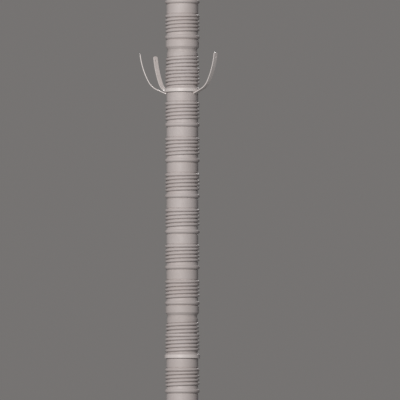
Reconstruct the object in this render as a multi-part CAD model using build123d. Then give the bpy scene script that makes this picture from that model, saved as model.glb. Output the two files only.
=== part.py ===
from build123d import *
import os
from math import cos, radians, sin, sqrt

# A flexible corrugated flue liner of plastic, cut to length and stood on its end,
# with a centring spacer and a plain ring snapped over two of its beads.
# Frame: +Z up along the liner, origin at the centre of its bottom end, sizes in mm.

# Lengths along the liner
repeat_count = 2            # pattern repeats in the cut length
plain_module_count = 6      # plain modules in one repeat, beside its one socket module
head_bead_height = 12.8     # bead that heads a module
bead_height = 9.0           # bead that leads a group of ribs
valley_height = 2.1         # narrow valley beside a bead
band_height = 25.9          # smooth band
rib_height = 7.6
rib_pitch = 10.4
rib_count = 4
lead_rib_count = 3          # lower ribs under the shoulder of a socket module
plain_neck = 7.0            # neck that ends a plain module
socket_neck = 3.5           # neck that ends a socket module
wide_band_height = 18.5     # band of a socket module
groove_fall = 8.0           # slope from the wide band down to the locking groove
groove_height = 4.0         # bottom of the locking groove
groove_rise = 6.0           # slope from the locking groove up to the shoulder
shoulder_height = 10.3
flank = 0.8                 # run of the step between two plain stretches

# Outside radii of the liner
bead_radius = 48.9
rib_radius = 48.7
lead_rib_radius = 47.2
band_radius = 44.9
wide_band_radius = 47.0
shoulder_radius = 44.1
wide_neck_radius = 44.6     # neck of a plain module
neck_radius = 43.4          # valleys, gaps and the neck of a socket module
groove_radius = 41.7        # locking groove, and the gaps of the lead ribs
liner_wall = 1.2

# Rings that snap over the lower half of a head bead, with a lip in the valley below it
ring_clearance = 0.25
ring_rise = 1.2             # how far a ring reaches above the middle of the bead
ring_wall = 0.9
spacer_wall = 1.2
ring_edge = 0.5             # rounding of the outer edges
spacer_bead_number = 3      # head bead that carries the spacer, counted from the top
ring_bead_number = 10       # head bead that carries the plain ring

# Arms of the spacer: a strip with a straight root and two tangent arcs, nearly upright at its tip
arm_azimuths = (80, 130, 180, 322)
arm_width = 15.0
arm_thickness = 2.6
arm_drop = 12.4             # the strip leaves this far below the middle of the bead
root_angle = 24.0
root_run = 27.0
bend_radius = 50.0
bend_angle = 38.0
sweep_radius = 217.0
sweep_angle = 22.0
tip_flat = 1.0              # what the two roundings of the tip leave between them
tip_hole_radius = 2.2
tip_hole_inset = 13.0
foot_thickness = 2.8        # foot that carries the strip below the ring

tiny = 1e-4                 # lengths that differ by less are the same

# Wall of the liner, as stretches of (kind, height, radius)
head_bead = ("bead", head_bead_height, bead_radius)
bead = ("bead", bead_height, bead_radius)
valley = ("wall", valley_height, neck_radius)
band = ("wall", band_height, band_radius)
rib_gap = ("wall", (rib_pitch - rib_height) / 2, neck_radius)
rib = [rib_gap, ("bead", rib_height, rib_radius), rib_gap]
lead_gap = ("wall", (rib_pitch - rib_height) / 2, groove_radius)
lead_rib = [lead_gap, ("bead", rib_height, lead_rib_radius), lead_gap]
socket = [
    ("wall", wide_band_height, wide_band_radius),
    ("slope", groove_fall, groove_radius),
    ("wall", groove_height, groove_radius),
    ("slope", groove_rise, shoulder_radius),
    ("wall", shoulder_height, shoulder_radius),
]


def height_of(stretches):
    return sum(height for kind, height, radius in stretches)


plain_module = [head_bead, valley, band, valley, bead] + rib * rib_count
plain_module += [("wall", plain_neck, wide_neck_radius)]
socket_module = [head_bead, valley] + socket + lead_rib * lead_rib_count
socket_module += [bead] + rib * rib_count + [("wall", socket_neck, neck_radius)]

# Both ends are cut half way down the smooth band of a plain module.
band_place = plain_module.index(band)
half_band = ("wall", band_height / 2, band_radius)
above_cut = plain_module[:band_place] + [half_band]
below_cut = [half_band] + plain_module[band_place + 1:]
modules = ([plain_module, socket_module] + [plain_module] * (plain_module_count - 1)) * repeat_count
modules = [below_cut] + modules[:-1] + [above_cut]
wall_stretches = sum(modules, [])
liner_length = height_of(wall_stretches)


def bead_level(number):
    """Middle of the bead that heads a module, counted from the top."""
    above = sum(height_of(stretches) for stretches in modules[:number])
    return liner_length - above - head_bead_height / 2


def crest_circle(half_height, crest_radius, foot_radius):
    """Bend of a round crest over its foot, and the radius at which the bend is centred."""
    rise = crest_radius - foot_radius
    bend = (half_height ** 2 + rise ** 2) / (2 * rise)
    return bend, crest_radius - bend


def bead_points(middle, height, crest, above, below):
    """An arc over the crest, from the wall above the bead to the wall below it."""
    bend, centre = crest_circle(height / 2, crest, min(above, below))
    start = (above, middle + sqrt(bend ** 2 - (above - centre) ** 2))
    end = (below, middle - sqrt(bend ** 2 - (below - centre) ** 2))
    return [start, (crest, middle, "crest"), end]


def step_points(level, above, below, inset):
    """A step between two plain stretches, cut from the wider one."""
    if abs(above - below) < tiny:
        return []
    if above < below:
        return [(above, level - inset), (below, level - inset - flank)]
    return [(above, level + inset + flank), (below, level + inset)]


def wall_points(inset):
    """Points down the outside (inset 0) or the inside of the wall; a crest marks an arc."""
    z = liner_length
    points = [(wall_stretches[0][2] - inset, z)]
    for place, (kind, height, radius) in enumerate(wall_stretches):
        kind_above, _, radius_above = wall_stretches[place - 1]
        above = radius_above - inset
        side = radius - inset
        if kind == "bead":
            below = wall_stretches[place + 1][2] - inset
            points += bead_points(z - height / 2, height - 2 * inset, side, above, below)
        elif kind == "slope":
            points.append((above, z))
        elif kind_above == "slope":
            points.append((side, z))
        elif kind_above == "wall" and place > 0:
            points += step_points(z, above, side, inset)
        z -= height
    return points + [(wall_stretches[-1][2] - inset, 0)]


def wall_edges(points):
    """Lines between the points, and an arc through each crest."""
    corners = [(point[0], 0, point[1]) for point in points]
    crests = [len(point) == 3 for point in points]
    edges = []
    for place in range(1, len(points)):
        if crests[place]:
            edges.append(Edge.make_three_point_arc(*corners[place - 1:place + 2]))
        elif not crests[place - 1] and abs(Vector(*corners[place]) - Vector(*corners[place - 1])) > tiny:
            edges.append(Edge.make_line(corners[place - 1], corners[place]))
    return edges


def make_liner():
    outside = wall_points(0)
    inside = wall_points(liner_wall)
    cuts = [
        Edge.make_line((outer[0], 0, outer[1]), (inner[0], 0, inner[1]))
        for outer, inner in ((outside[0], inside[0]), (outside[-1], inside[-1]))
    ]
    return revolve(Face(Wire(wall_edges(outside) + wall_edges(inside) + cuts)), Axis.Z, 360)


# Section of a ring, measured from the middle of the head bead: a wall over the crest and a lip in the valley
ring_inner = bead_radius + ring_clearance
lip_inner = neck_radius + ring_clearance
bead_bend, bead_centre = crest_circle(head_bead_height / 2, bead_radius, neck_radius)
bead_reach = bead_bend if bead_centre > neck_radius else head_bead_height / 2
lip_top = -bead_reach - ring_clearance
lip_low = -head_bead_height / 2 - valley_height + ring_clearance


def make_ring(level, wall):
    """A ring whose lip sits between the bead and the smooth band."""
    outer = ring_inner + wall
    outline = Polyline(
        (ring_inner, ring_rise),
        (outer, ring_rise),
        (outer, lip_low),
        (lip_inner, lip_low),
        (lip_inner, lip_top),
        (ring_inner, lip_top),
        close=True,
    )
    section = make_face(outline)
    section = fillet(section.vertices().group_by(Axis.X)[-1], radius=ring_edge)
    return Pos(0, 0, level) * revolve(Plane.XZ * section, Axis.Z, 360)


# Foot of an arm: it hangs from the lip, clear of the smooth band, and ends below the strip
foot_inner = max(lip_inner, band_radius + ring_clearance)
foot_middle = foot_inner + foot_thickness / 2
foot_top = (lip_top + lip_low) / 2
foot_low = -arm_drop - arm_thickness / 2


def arm_side(offset):
    """One side of the strip, at this offset above its centre line: a run and two tangent arcs."""
    start = (
        foot_middle - offset * sin(radians(root_angle)),
        -arm_drop + offset * cos(radians(root_angle)),
    )
    run = PolarLine(start, root_run, root_angle)
    bend = JernArc(run @ 1, run % 1, bend_radius - offset, bend_angle)
    rise = JernArc(bend @ 1, bend % 1, sweep_radius - offset, sweep_angle)
    return run, bend, rise


def make_arm():
    """One strip with its foot, pointing along +X, measured from the middle of the bead."""
    upper = arm_side(arm_thickness / 2)
    lower = arm_side(-arm_thickness / 2)
    root = Line(upper[0] @ 0, lower[0] @ 0)
    tip = Line(upper[-1] @ 1, lower[-1] @ 1)
    side_view = make_face([*upper, *lower, root, tip])
    strip = extrude(Plane.XZ * side_view, arm_width / 2, both=True)
    tip_edges = strip.edges().filter_by(lambda edge: abs(edge.length - arm_thickness) < tiny).sort_by(Axis.Z)
    strip = fillet(tip_edges[-2:], radius=(arm_width - tip_flat) / 2)

    rise = arm_side(0)[-1]
    place = 1 - tip_hole_inset / rise.length
    at = rise @ place
    along = rise % place
    hole = Cylinder(tip_hole_radius, 2 * arm_thickness)
    strip -= Plane((at.X, 0, at.Y), z_dir=(-along.Y, 0, along.X)) * hole

    foot = Box(foot_thickness, arm_width, foot_top - foot_low)
    return strip + Pos(foot_middle, 0, (foot_top + foot_low) / 2) * foot


def make_spacer():
    arm = Pos(0, 0, bead_level(spacer_bead_number)) * make_arm()
    spacer = make_ring(bead_level(spacer_bead_number), spacer_wall)
    for azimuth in arm_azimuths:
        spacer += Rot(0, 0, azimuth) * arm
    return spacer


os.makedirs("parts", exist_ok=True)
export_step(make_liner(), "parts/flue_liner.step")
export_step(make_spacer(), "parts/centring_spacer.step")
export_step(make_ring(bead_level(ring_bead_number), ring_wall), "parts/plain_ring.step")
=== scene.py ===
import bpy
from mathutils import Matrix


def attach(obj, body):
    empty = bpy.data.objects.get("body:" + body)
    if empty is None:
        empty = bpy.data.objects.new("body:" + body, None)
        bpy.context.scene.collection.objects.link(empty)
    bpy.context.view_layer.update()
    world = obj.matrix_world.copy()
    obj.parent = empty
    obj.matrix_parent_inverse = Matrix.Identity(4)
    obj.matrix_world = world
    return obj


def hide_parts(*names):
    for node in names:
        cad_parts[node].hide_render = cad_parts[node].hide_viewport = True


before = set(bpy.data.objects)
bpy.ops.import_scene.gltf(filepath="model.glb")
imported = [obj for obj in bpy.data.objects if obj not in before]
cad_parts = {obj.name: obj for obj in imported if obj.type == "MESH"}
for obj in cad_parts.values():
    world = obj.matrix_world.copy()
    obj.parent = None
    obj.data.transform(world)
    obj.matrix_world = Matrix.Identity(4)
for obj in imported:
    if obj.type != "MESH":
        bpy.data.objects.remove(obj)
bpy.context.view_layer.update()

from math import acos, atan2, cos, hypot, pi, radians, sin, sqrt

import bmesh
import bpy
from mathutils import Matrix, Vector

# The liner's pattern and the rings, in millimetres
head_bead_height = 12.8
bead_height = 9.0
valley_height = 2.1
band_height = 25.9
rib_height = 7.6
rib_pitch = 10.4
wide_band_height = 18.5
groove_fall = 8.0
groove_height = 4.0
groove_rise = 6.0
shoulder_height = 10.3
plain_neck = 7.0
socket_neck = 3.5
flank = 0.8
rib_count = 4
lead_rib_count = 3
plain_module_count = 6
repeat_count = 2
bead_radius = 48.9
rib_radius = 48.7
lead_rib_radius = 47.2
band_radius = 44.9
wide_band_radius = 47.0
shoulder_radius = 44.1
wide_neck_radius = 44.6
neck_radius = 43.4
groove_radius = 41.7
liner_wall = 1.2
corner_easing = 0.35

# Wall of the liner from the top down, as stretches of (kind, height, radius)
head_bead = ("bead", head_bead_height, bead_radius)
bead = ("bead", bead_height, bead_radius)
valley = ("wall", valley_height, neck_radius)
band = ("wall", band_height, band_radius)
rib_gap = ("wall", (rib_pitch - rib_height) / 2, neck_radius)
rib = [rib_gap, ("rib", rib_height, rib_radius), rib_gap]
lead_gap = ("wall", (rib_pitch - rib_height) / 2, groove_radius)
lead_rib = [lead_gap, ("rib", rib_height, lead_rib_radius), lead_gap]
socket = [
    ("wall", wide_band_height, wide_band_radius),
    ("slope", groove_fall, groove_radius),
    ("wall", groove_height, groove_radius),
    ("slope", groove_rise, shoulder_radius),
    ("wall", shoulder_height, shoulder_radius)]
plain_module = [head_bead, valley, band, valley, bead] + rib * rib_count
plain_module += [("wall", plain_neck, wide_neck_radius)]
socket_module = [head_bead, valley] + socket + lead_rib * lead_rib_count
socket_module += [bead] + rib * rib_count + [("wall", socket_neck, neck_radius)]
half_band = ("wall", band_height / 2, band_radius)
band_place = plain_module.index(band)
modules = ([plain_module, socket_module] + [plain_module] * (plain_module_count - 1)) * repeat_count
modules = (
    [[half_band] + plain_module[band_place + 1:]] + modules[:-1]
    + [plain_module[:band_place] + [half_band]])
stretches = sum(modules, [])
liner_length = sum(height for kind, height, radius in stretches)

millimetre = 0.001

# Fineness of the meshes
columns = 64
ring_columns = 96
outer_steps = 7             # faces over a bead or a rib, on the outside of the wall
inner_steps = 4
arm_steps = 20
tiny = 1e-3                 # lengths that differ by less are the same
weld = 0.005                # vertices nearer than this are joined

# Coils of ribs
rib_run_out = 0.32          # share of a turn in which a coil rises from the wall, and sinks into it
bead_yield = 0.7            # how far the flank of a bead gives way to the coil beside it
coil_margin = 1.0           # what lies farther than this inside a coil is a rib
step_margin = 0.7           # what lies nearer than this past the step beside a coil follows the coil

# Rings and arms
ring_clearance = 0.25
ring_inner = bead_radius + ring_clearance
lip_inner = neck_radius + ring_clearance
lip_top = -head_bead_height / 2 - ring_clearance
lip_low = -head_bead_height / 2 - valley_height + ring_clearance
ring_rise = 1.2
ring_wall = 0.9
spacer_wall = 1.2
ring_edge = 0.5
lip_edge = 0.15
spacer_bead_number = 3
ring_bead_number = 10
arm_azimuths = (80, 130, 180, 322)
arm_width = 15.0
arm_thickness = 2.6
arm_drop = 12.4
root_angle = radians(24)
root_run = 27.0
bend_radius = 50.0
bend_angle = radians(38)
sweep_radius = 217.0
sweep_angle = radians(22)
tip_rounding = 7.0
tip_hole_radius = 2.2
tip_hole_inset = 13.0
arm_edge = 0.45
foot_thickness = 2.8
foot_inner = band_radius + ring_clearance
foot_middle = foot_inner + foot_thickness / 2
foot_top = (lip_top + lip_low) / 2
foot_low = -arm_drop - arm_thickness / 2


def bead_level(number):
    """Height of the bead that heads a module, counted from the top."""
    above = sum(height for kind, height, radius in sum(modules[:number], []))
    return liner_length - above - head_bead_height / 2


# Mesh work
def finish_piece(bm, name, material, node):
    """Makes a smooth piece in metres, which stands for a solid, from a mesh in millimetres."""
    bmesh.ops.scale(bm, vec=(millimetre, millimetre, millimetre), verts=bm.verts)
    for face in bm.faces:
        face.smooth = True
    mesh = bpy.data.meshes.new(name)
    bm.to_mesh(mesh)
    bm.free()
    mesh.materials.append(material)
    piece = bpy.data.objects.new(name, mesh)
    bpy.context.scene.collection.objects.link(piece)
    shading = piece.modifiers.new("even shading", "WEIGHTED_NORMAL")
    shading.mode = "FACE_AREA"
    shading.keep_sharp = True
    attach(piece, "root")
    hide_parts(node)


def draw_line(bm, end, x, z):
    """Draws an edge in the XZ plane from the end of an outline."""
    if hypot(end.co.x - x, end.co.z - z) < tiny:
        return end
    made = bmesh.ops.extrude_vert_indiv(bm, verts=[end])["verts"][0]
    made.co = (x, 0, z)
    return made


def draw_bulge(bm, end, middle, half, crest, above, below, steps):
    """Draws a round bulge, from the wall above it to the wall below it."""
    rise = crest - min(above, below)
    bend = (half ** 2 + rise ** 2) / (2 * rise)
    centre = crest - bend
    end = draw_line(bm, end, above, middle + sqrt(bend ** 2 - (above - centre) ** 2))
    turn = acos((above - centre) / bend) + acos((below - centre) / bend)
    made = bmesh.ops.spin(
        bm, geom=[end], cent=(centre, 0, middle), axis=(0, 1, 0), angle=turn, steps=steps)
    end = made["geom_last"][0]
    end.co = (below, 0, middle - sqrt(bend ** 2 - (below - centre) ** 2))
    return end


def find_coils():
    """Top, bottom, foot radius and neighbours' kinds of each run of ribs."""
    found = []
    z = liner_length
    for place, (kind, height, radius) in enumerate(stretches):
        if kind == "rib":
            gap, foot = stretches[place - 1][1:]
            kind_above = stretches[place - 2][0]
            kind_below = stretches[place + 2][0]
            if found and abs(found[-1][1] - z - gap) < tiny:
                found[-1][1] = z - height - gap
                found[-1][4] = kind_below
            else:
                found.append([z + gap, z - height - gap, foot, kind_above, kind_below])
        z -= height
    return found


coils = find_coils()


def draw_wall(bm, inset, steps):
    """Draws the section of one side of the wall, from rim to rim, and returns its outer corners."""
    z = liner_length
    end = bm.verts.new((stretches[0][2], 0, z))
    end = draw_line(bm, end, stretches[0][2] - inset, z)
    corners = []
    for place, (kind, height, radius) in enumerate(stretches):
        kind_above, _, radius_above = stretches[place - 1]
        above = radius_above - inset
        side = radius - inset
        for top, bottom, foot, _, _ in coils:
            if abs(z - bottom) < tiny:
                end = draw_line(bm, end, foot - inset, z)
        if kind in ("bead", "rib"):
            below = stretches[place + 1][2] - inset
            end = draw_bulge(bm, end, z - height / 2, height / 2 - inset, side, above, below, steps)
        elif kind == "slope" or kind_above == "slope":
            end = draw_line(bm, end, above, z)
            corners.append(end)
        elif kind_above == "wall" and place > 0 and abs(above - side) > tiny:
            if above < side:
                end = draw_line(bm, end, above, z - inset)
                end = draw_line(bm, end, side, z - inset - flank)
                corners.append(end)
            else:
                end = draw_line(bm, end, above, z + inset + flank)
                corners.append(end)
                end = draw_line(bm, end, side, z + inset)
        for top, bottom, foot, _, _ in coils:
            if abs(z - top) < tiny:
                end = draw_line(bm, end, foot - inset, z)
        z -= height
    end = draw_line(bm, end, stretches[-1][2] - inset, 0)
    draw_line(bm, end, stretches[-1][2], 0)
    return corners


def run_out(turns):
    """Share of its height that a coil has, this many turns from its end."""
    share = max(0.0, min(1.0, turns / rib_run_out))
    return share * share * (3 - 2 * share)


def wind_ribs(verts, first, last, inset):
    """Winds the rings of each run of ribs into a coil, which rises by one pitch a turn."""
    step_reach = flank + inset + step_margin
    bead_reach = bead_height / 2
    for vert in verts:
        radius = hypot(vert.co.x, vert.co.y)
        angle = atan2(vert.co.x, -vert.co.y) / (2 * pi)
        if vert in first:
            angle = -0.5
        elif vert in last:
            angle = 0.5
        z = vert.co.z
        climb = rib_pitch * angle * run_out(0.5 - abs(angle))
        for top, bottom, foot, kind_above, kind_below in coils:
            past_top = z - top
            past_bottom = bottom - z
            if past_top < -coil_margin and past_bottom < -coil_margin:
                count = round((top - bottom) / rib_pitch)
                place = int((top - z) / rib_pitch)
                centre = top - (place + 0.5) * rib_pitch
                turns = count - 1 - place + angle + 0.5
                share = run_out(min(turns, count - turns))
                reach = foot - inset + (radius - foot + inset) * share
                vert.co = (
                    vert.co.x * reach / radius, vert.co.y * reach / radius,
                    centre + rib_pitch * angle + (z - centre) * share)
            elif kind_above == "bead" and -tiny < past_top < bead_reach:
                vert.co.z += max(0.0, climb) * bead_yield * (1 - max(0.0, past_top) / bead_reach)
            elif kind_above == "wall" and -tiny < past_top < step_reach:
                vert.co.z += climb
            elif kind_below == "bead" and -tiny < past_bottom < bead_reach:
                vert.co.z += min(0.0, climb) * bead_yield * (1 - max(0.0, past_bottom) / bead_reach)
            elif kind_below == "wall" and -tiny < past_bottom < step_reach:
                vert.co.z += climb


def turn_wall(inset, steps, easing):
    """Makes one side of the liner's wall, as a tube that ends at the outer edges of the rims."""
    bm = bmesh.new()
    corners = draw_wall(bm, inset, steps)
    if easing:
        bmesh.ops.bevel(
            bm, geom=corners, offset=easing, segments=1, affect="VERTICES", profile=0.5, material=-1)
    bmesh.ops.rotate(bm, cent=(0, 0, 0), matrix=Matrix.Rotation(pi / 2, 3, "Z"), verts=bm.verts)
    first = set(bm.verts)
    made = bmesh.ops.spin(
        bm, geom=list(bm.verts) + list(bm.edges), cent=(0, 0, 0), axis=(0, 0, 1), angle=2 * pi,
        steps=columns)
    last = {item for item in made["geom_last"] if isinstance(item, bmesh.types.BMVert)}
    wind_ribs(bm.verts, first, last, inset)
    bmesh.ops.remove_doubles(bm, verts=bm.verts, dist=weld)
    mesh = bpy.data.meshes.new("wall")
    bm.to_mesh(mesh)
    bm.free()
    return mesh


def make_liner(material):
    bm = bmesh.new()
    bm.from_mesh(turn_wall(0, outer_steps, corner_easing))
    bm.from_mesh(turn_wall(liner_wall, inner_steps, 0))
    bmesh.ops.remove_doubles(bm, verts=bm.verts, dist=weld)
    bmesh.ops.recalc_face_normals(bm, faces=bm.faces)
    finish_piece(bm, "liner_pipe", material, "flue_liner")


def make_ring(bm, level, wall):
    """A ring over the lower half of a head bead, with a lip in the valley below it."""
    outer = ring_inner + wall
    start = bm.verts.new((ring_inner, 0, level + ring_rise))
    end = start
    lip = ((lip_inner, lip_low), (lip_inner, lip_top), (ring_inner, lip_top))
    for x, z in ((outer, ring_rise), (outer, lip_low)) + lip:
        end = draw_line(bm, end, x, level + z)
    bm.edges.new((end, start))
    corners = [vert for vert in bm.verts if vert.co.x > outer - tiny]
    others = [vert for vert in bm.verts if vert not in corners and vert is not end]
    for chosen, offset, segments in ((corners, ring_edge, 4), (others, lip_edge, 2)):
        bmesh.ops.bevel(
            bm, geom=chosen, offset=offset, segments=segments, affect="VERTICES", profile=0.5, material=-1)
    bmesh.ops.spin(
        bm, geom=list(bm.verts) + list(bm.edges), cent=(0, 0, 0), axis=(0, 0, 1), angle=2 * pi,
        steps=ring_columns, use_merge=True)
    bmesh.ops.remove_doubles(bm, verts=bm.verts, dist=weld)
    bmesh.ops.recalc_face_normals(bm, faces=bm.faces)


def cut_hole(bm, at, along, radius):
    """Cuts a round hole through a strip, square to its run, and returns the cut mesh."""
    turn = Vector((-along.z, 0, along.x)).to_track_quat("Z", "Y").to_matrix().to_4x4()
    cutter = bmesh.new()
    bmesh.ops.create_cone(
        cutter, cap_ends=True, segments=24, radius1=radius, radius2=radius, depth=4 * arm_thickness,
        matrix=Matrix.Translation(at) @ turn)
    shapes = []
    for source in (bm, cutter):
        mesh = bpy.data.meshes.new("shape")
        source.to_mesh(mesh)
        source.free()
        shape = bpy.data.objects.new("shape", mesh)
        bpy.context.scene.collection.objects.link(shape)
        shapes.append(shape)
    cut = shapes[0].modifiers.new("hole", "BOOLEAN")
    cut.operation = "DIFFERENCE"
    cut.solver = "EXACT"
    cut.object = shapes[1]
    mesh = bpy.data.meshes.new_from_object(shapes[0].evaluated_get(bpy.context.evaluated_depsgraph_get()))
    for shape in shapes:
        bpy.data.objects.remove(shape)
    made = bmesh.new()
    made.from_mesh(mesh)
    return made


def make_arm():
    """One strip with its foot, pointing along +X, measured from the middle of the bead."""
    bm = bmesh.new()
    bmesh.ops.create_grid(bm, x_segments=1, y_segments=1, size=0.5)
    bmesh.ops.scale(bm, vec=(arm_thickness, arm_width, 1), verts=bm.verts)
    bmesh.ops.rotate(bm, cent=(0, 0, 0), matrix=Matrix.Rotation(pi / 2 - root_angle, 3, "Y"), verts=bm.verts)
    run = root_run * Vector((cos(root_angle), 0, sin(root_angle)))
    point = Vector((foot_middle, 0, -arm_drop)) + run
    bmesh.ops.translate(bm, vec=point, verts=bm.verts)
    root = list(bm.verts)
    head = list(bm.faces)
    heading = root_angle
    for radius, angle in ((bend_radius, bend_angle), (sweep_radius, sweep_angle)):
        centre = point + radius * Vector((-sin(heading), 0, cos(heading)))
        made = bmesh.ops.spin(bm, geom=head, cent=centre, axis=(0, -1, 0), angle=angle, steps=arm_steps)
        head = [item for item in made["geom_last"] if isinstance(item, bmesh.types.BMFace)]
        heading += angle
        point = centre + radius * Vector((sin(heading), 0, -cos(heading)))
    joints = [face for face in bm.faces if all(len(edge.link_faces) == 3 for edge in face.edges)]
    bmesh.ops.delete(bm, geom=joints, context="FACES_ONLY")
    bmesh.ops.translate(bm, vec=-run, verts=root)
    bmesh.ops.recalc_face_normals(bm, faces=bm.faces)
    tip = [edge for edge in head[0].edges if abs(edge.calc_length() - arm_thickness) < tiny]
    bmesh.ops.bevel(
        bm, geom=tip, offset=tip_rounding, segments=9, affect="EDGES", profile=0.5, material=-1,
        clamp_overlap=False)
    bmesh.ops.remove_doubles(bm, verts=bm.verts, dist=0.01)
    back = tip_hole_inset / sweep_radius
    hole_heading = heading - back
    hole_at = centre + sweep_radius * Vector((sin(hole_heading), 0, -cos(hole_heading)))
    bm = cut_hole(bm, hole_at, Vector((cos(hole_heading), 0, sin(hole_heading))), tip_hole_radius)

    foot = bmesh.ops.create_cube(bm, size=1)["verts"]
    bmesh.ops.scale(bm, vec=(foot_thickness, arm_width, foot_top - foot_low), verts=foot)
    bmesh.ops.translate(bm, vec=(foot_middle, 0, (foot_top + foot_low) / 2), verts=foot)
    edges = [edge for edge in bm.edges if edge.is_manifold and edge.calc_face_angle() > radians(35)]
    bmesh.ops.bevel(bm, geom=edges, offset=arm_edge, segments=2, affect="EDGES", profile=0.5, material=-1)
    return bm


def make_spacer(material):
    bm = bmesh.new()
    level = bead_level(spacer_bead_number)
    make_ring(bm, level, spacer_wall)
    arm = make_arm()
    mesh = bpy.data.meshes.new("arm")
    arm.to_mesh(mesh)
    arm.free()
    for azimuth in arm_azimuths:
        before = set(bm.verts)
        bm.from_mesh(mesh)
        new = [vert for vert in bm.verts if vert not in before]
        bmesh.ops.rotate(bm, cent=(0, 0, 0), matrix=Matrix.Rotation(radians(azimuth), 3, "Z"), verts=new)
        bmesh.ops.translate(bm, vec=(0, 0, level), verts=new)
    bmesh.ops.recalc_face_normals(bm, faces=bm.faces)
    finish_piece(bm, "spacer_with_arms", material, "centring_spacer")


def make_plain_ring(material):
    bm = bmesh.new()
    make_ring(bm, bead_level(ring_bead_number), ring_wall)
    finish_piece(bm, "snap_ring", material, "plain_ring")


# Materials
cloud_scale = 9.0
streak_scale = 260.0
streak_stretch = 0.06       # share of the streaks' fineness that is left along the liner
grain_scale = 2600.0
scuff_scale = 70.0
parting_line = (0.0001, 0.0006)
# Radii over which the liner's colour darkens: painted shade in the necks and the gaps between ribs, made
# patchy like dust
dust_and_shade_radii = (neck_radius * millimetre, wide_neck_radius * millimetre)
bump_strength = 0.35
bump_distance = 0.0002
plastic_ior = 1.49


def new_material(name):
    material = bpy.data.materials.new(name)
    material.use_nodes = True
    nodes = material.node_tree.nodes
    nodes.clear()
    return material, nodes, material.node_tree.links


def add(nodes, kind, **values):
    node = nodes.new(kind)
    for key, value in values.items():
        if key in node.inputs:
            node.inputs[key].default_value = value
        else:
            setattr(node, key, value)
    return node


def math_node(nodes, links, operation, first, second=None):
    node = nodes.new("ShaderNodeMath")
    node.operation = operation
    for place, value in enumerate((first, second)):
        if value is None:
            continue
        if isinstance(value, (int, float)):
            node.inputs[place].default_value = value
        else:
            links.new(value, node.inputs[place])
    return node.outputs[0]


def noise(nodes, links, vector, scale, detail, roughness=0.5):
    node = nodes.new("ShaderNodeTexNoise")
    node.inputs["Scale"].default_value = scale
    node.inputs["Detail"].default_value = detail
    node.inputs["Roughness"].default_value = roughness
    links.new(vector, node.inputs["Vector"])
    return node.outputs["Fac"]


def spread(nodes, links, value, low, high, to_low, to_high):
    """Maps a value from one range to another."""
    node = nodes.new("ShaderNodeMapRange")
    node.interpolation_type = "SMOOTHSTEP"
    for name, number in (("From Min", low), ("From Max", high), ("To Min", to_low), ("To Max", to_high)):
        node.inputs[name].default_value = number
    links.new(value, node.inputs["Value"])
    return node.outputs["Result"]


def mix_colours(nodes, links, factor, first, second):
    node = nodes.new("ShaderNodeMix")
    node.data_type = "RGBA"
    for socket, value in ((node.inputs[0], factor), (node.inputs[6], first), (node.inputs[7], second)):
        if isinstance(value, (tuple, float, int)):
            socket.default_value = value
        else:
            links.new(value, socket)
    return node.outputs[2]


def moulded_plastic(name, colour, warm, dust_and_shade, roughness, mould_line):
    """Satin moulded plastic: faint cloudiness, die streaks, fine grain, a parting line, and painted shade
    with a little dust where the wall is narrow.
    """
    material, nodes, links = new_material(name)
    output = nodes.new("ShaderNodeOutputMaterial")
    shader = nodes.new("ShaderNodeBsdfPrincipled")
    links.new(shader.outputs[0], output.inputs[0])
    place = nodes.new("ShaderNodeTexCoord").outputs["Object"]
    stretch = nodes.new("ShaderNodeMapping")
    stretch.inputs["Scale"].default_value = (1, 1, streak_stretch)
    links.new(place, stretch.inputs["Vector"])

    clouds = noise(nodes, links, place, cloud_scale, 3.0)
    streaks = noise(nodes, links, stretch.outputs[0], streak_scale, 2.0)
    grain = noise(nodes, links, place, grain_scale, 2.0, 0.6)
    scuffs = noise(nodes, links, place, scuff_scale, 6.0, 0.65)

    parts = nodes.new("ShaderNodeSeparateXYZ")
    links.new(place, parts.inputs[0])
    across = math_node(nodes, links, "ABSOLUTE", parts.outputs["Y"])
    line = spread(nodes, links, across, *parting_line, 1.0, 0.0)
    squares = [
        math_node(nodes, links, "MULTIPLY", parts.outputs[axis], parts.outputs[axis]) for axis in ("X", "Y")]
    radius = math_node(nodes, links, "SQRT", math_node(nodes, links, "ADD", squares[0], squares[1]))
    # Painted shade: the colour darkens where the wall lies at the necks and between the ribs, patchy like
    # settled dust
    low = spread(nodes, links, radius, *dust_and_shade_radii, 1.0, 0.0)

    tone = mix_colours(nodes, links, spread(nodes, links, clouds, 0.35, 0.65, 0.0, 1.0), colour, warm)
    streaked = mix_colours(nodes, links, spread(nodes, links, streaks, 0.3, 0.7, 0.0, 0.35), tone, warm)
    # How far the painted shade and dust darken the colour in the narrow parts of the wall
    dust_and_shade_amount = math_node(nodes, links, "MULTIPLY", low, spread(nodes, links, scuffs, 0.35, 0.7, 0.05, 0.3))
    with_dust_and_shade = mix_colours(nodes, links, dust_and_shade_amount, streaked, dust_and_shade)
    links.new(with_dust_and_shade, shader.inputs["Base Color"])

    worn = spread(nodes, links, scuffs, 0.3, 0.7, roughness - 0.06, roughness + 0.1)
    links.new(worn, shader.inputs["Roughness"])
    shader.inputs["IOR"].default_value = plastic_ior

    height = math_node(nodes, links, "MULTIPLY", grain, 0.25)
    height = math_node(nodes, links, "ADD", height, math_node(nodes, links, "MULTIPLY", streaks, 0.6))
    height = math_node(nodes, links, "ADD", height, math_node(nodes, links, "MULTIPLY", line, mould_line))
    bump = nodes.new("ShaderNodeBump")
    bump.inputs["Strength"].default_value = bump_strength
    bump.inputs["Distance"].default_value = bump_distance
    links.new(height, bump.inputs["Height"])
    links.new(bump.outputs[0], shader.inputs["Normal"])
    return material


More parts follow.
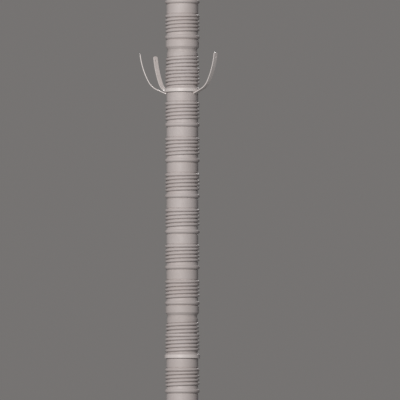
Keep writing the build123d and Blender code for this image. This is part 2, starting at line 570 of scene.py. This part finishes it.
def stage_surface(name, seen, lit):
    """A plain surface that shows one colour and passes on the light of another."""
    material, nodes, links = new_material(name)
    output = nodes.new("ShaderNodeOutputMaterial")
    shader = nodes.new("ShaderNodeBsdfPrincipled")
    links.new(shader.outputs[0], output.inputs[0])
    shader.inputs["Roughness"].default_value = 0.9
    shader.inputs["Specular IOR Level"].default_value = 0.2
    rays = nodes.new("ShaderNodeLightPath")
    colour = mix_colours(nodes, links, rays.outputs["Is Camera Ray"], lit, seen)
    links.new(colour, shader.inputs["Base Color"])
    return material


# Pieces
# The third colour is the painted shade and dust for the narrow parts of the wall
liner_plastic = moulded_plastic(
    "liner_plastic", (0.555, 0.505, 0.495, 1), (0.52, 0.465, 0.45, 1), (0.30, 0.26, 0.24, 1), 0.56, 1.5)
ring_plastic = moulded_plastic(
    "ring_plastic", (0.74, 0.69, 0.67, 1), (0.70, 0.64, 0.62, 1), (0.55, 0.50, 0.48, 1), 0.36, 0.0)
make_liner(liner_plastic)
make_spacer(ring_plastic)
make_plain_ring(ring_plastic)

# Floor
floor_mesh = bmesh.new()
bmesh.ops.create_grid(floor_mesh, x_segments=1, y_segments=1, size=30)
mesh = bpy.data.meshes.new("floor")
floor_mesh.to_mesh(mesh)
floor_mesh.free()
mesh.materials.append(stage_surface("floor_paper", (0.72, 0.71, 0.70, 1), (0.25, 0.25, 0.25, 1)))
floor = bpy.data.objects.new("floor", mesh)
bpy.context.scene.collection.objects.link(floor)

# World: a soft even light, and the backdrop that the camera sees
world = bpy.data.worlds.new("studio")
bpy.context.scene.world = world
world.use_nodes = True
nodes = world.node_tree.nodes
links = world.node_tree.links
nodes.clear()
output = nodes.new("ShaderNodeOutputWorld")
rays = nodes.new("ShaderNodeLightPath")
soft = add(nodes, "ShaderNodeBackground", Color=(0.9, 0.93, 1.0, 1), Strength=0.08)
backdrop = add(nodes, "ShaderNodeBackground", Color=(0.18, 0.172, 0.168, 1), Strength=1.0)
seen = math_node(nodes, links, "MAXIMUM", rays.outputs["Is Camera Ray"], rays.outputs["Is Transmission Ray"])
mix = nodes.new("ShaderNodeMixShader")
links.new(seen, mix.inputs[0])
links.new(soft.outputs[0], mix.inputs[1])
links.new(backdrop.outputs[0], mix.inputs[2])
links.new(mix.outputs[0], output.inputs[0])

# Lamps
lamp_target = Vector((0, 0, 0.86))
lamp_distance = 12.0
lamp_size = 5.0
lamp_colour = (1.0, 0.985, 0.97)


def add_lamp(name, azimuth, elevation, power):
    """A square soft lamp that looks at the middle of the liner from an angle."""
    lamp = bpy.data.lights.new(name, "AREA")
    lamp.shape = "SQUARE"
    lamp.size = lamp_size
    lamp.energy = power
    lamp.color = lamp_colour
    rig = bpy.data.objects.new(name, lamp)
    towards = Vector((sin(azimuth) * cos(elevation), -cos(azimuth) * cos(elevation), sin(elevation)))
    rig.location = lamp_target + towards * lamp_distance
    rig.rotation_euler = towards.to_track_quat("Z", "Y").to_euler()
    bpy.context.scene.collection.objects.link(rig)


add_lamp("key_lamp", radians(-15), radians(18), 1200)
add_lamp("back_lamp", radians(172), radians(30), 900)

# Camera: from a little below, far away, as a long lens sees it
rise = radians(2.72)
distance = 16.6
aim = Vector((0.0499, 0, 0.8613))
camera_data = bpy.data.cameras.new("camera")
camera_data.sensor_width = 36
camera_data.lens = 530.1
camera_data.clip_end = 200
camera = bpy.data.objects.new("camera", camera_data)
camera.location = aim - distance * Vector((0, cos(rise), sin(rise)))
camera.rotation_euler = (pi / 2 + rise, 0, 0)
bpy.context.scene.collection.objects.link(camera)
bpy.context.scene.camera = camera
bpy.context.scene.view_settings.view_transform = "Standard"
